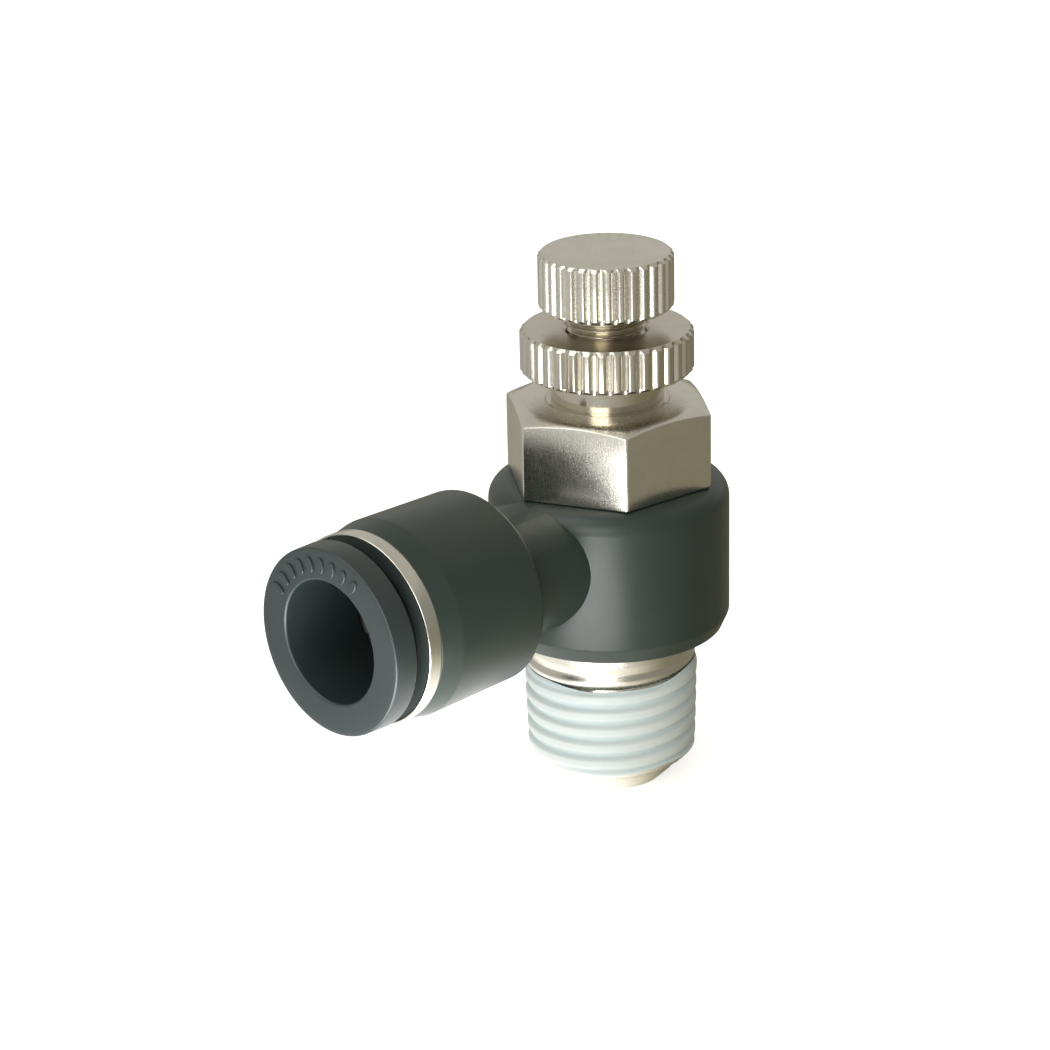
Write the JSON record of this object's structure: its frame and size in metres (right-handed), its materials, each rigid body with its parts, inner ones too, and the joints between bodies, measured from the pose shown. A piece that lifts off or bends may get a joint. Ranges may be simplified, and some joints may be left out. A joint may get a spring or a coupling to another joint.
{
  "type": "flow control valve",
  "caption": "Elbow flow control valve: push-in tube port on a swivelling elbow, tapered male thread, metering needle with knurled knob and lock nut.",
  "frame": {"origin": "stem axis at the hand-tight plane of the tapered male thread", "axes": "+Z along the stem towards the knob, -Y out of the tube port at rest, +X completes the right-handed frame"},
  "size_m": [0.0194, 0.0401, 0.0444],
  "materials": {
    "plated_brass": "nickel-plated drawn brass, satin",
    "plated_neck": "nickel-plated turned brass",
    "plated_nut": "nickel-plated knurled brass",
    "plated_stem": "nickel-plated threaded brass",
    "plated_knob": "nickel-plated knurled brass, fine turned top",
    "plated_collar": "nickel-plated turned brass",
    "bare_brass": "machined",
    "spring_steel": "rolled strip",
    "sealant": "dry pale blue-white sealant coat",
    "nitrile": "moulded black nitrile",
    "inner_resin": "black acetal",
    "black_resin": "satin black glass-filled resin",
    "ring_resin": "satin black acetal"
  },
  "bodies": {
    "stem": {"valve_body": "plated_brass", "seat_ring": "bare_brass", "needle_guide": "plated_neck", "guide_o_ring": "nitrile", "upper_o_ring": "nitrile", "lower_o_ring": "nitrile", "check_seal": "nitrile", "retaining_ring": "spring_steel", "thread_sealant": "sealant"},
    "elbow": {"elbow_body": "black_resin", "collar": "plated_collar", "lock_claw": "spring_steel", "claw_guide": "inner_resin", "tube_seal": "nitrile", "seal_spacer": "inner_resin"},
    "release": {"release_ring": "ring_resin"},
    "nut": {"lock_nut": "plated_nut"},
    "needle_carrier": {"needle_o_ring": "nitrile"},
    "adjuster": {"needle": "plated_stem", "knob": "plated_knob"}
  },
  "joints": [
    {"name": "swivel", "type": "hinge", "parent": "stem", "child": "elbow", "pos_m": [0, 0, 0.0152], "axis": [0, 0, 1], "continuous": true},
    {"name": "release_push", "type": "slide", "parent": "elbow", "child": "release", "axis": [0, 1, 0], "range_m": [0, 0.0011], "stiffness_N_per_m": 4000, "springref_m": -0.0005},
    {"name": "nut_turn", "type": "hinge", "parent": "stem", "child": "nut", "pos_m": [0, 0, 0.0307], "axis": [0, 0, 1], "range_deg": [0, 540]},
    {"name": "needle_lift", "type": "slide", "parent": "stem", "child": "needle_carrier", "axis": [0, 0, 1], "range_m": [-0.0008, 0.0032]},
    {"name": "knob_turn", "type": "hinge", "parent": "needle_carrier", "child": "adjuster", "pos_m": [0, 0, 0.0364], "axis": [0, 0, 1], "range_deg": [-577, 2305]}
  ],
  "couplings": [
    {"joint": "knob_turn", "follows": "needle_lift", "rad_per_m": 12566}
  ]
}
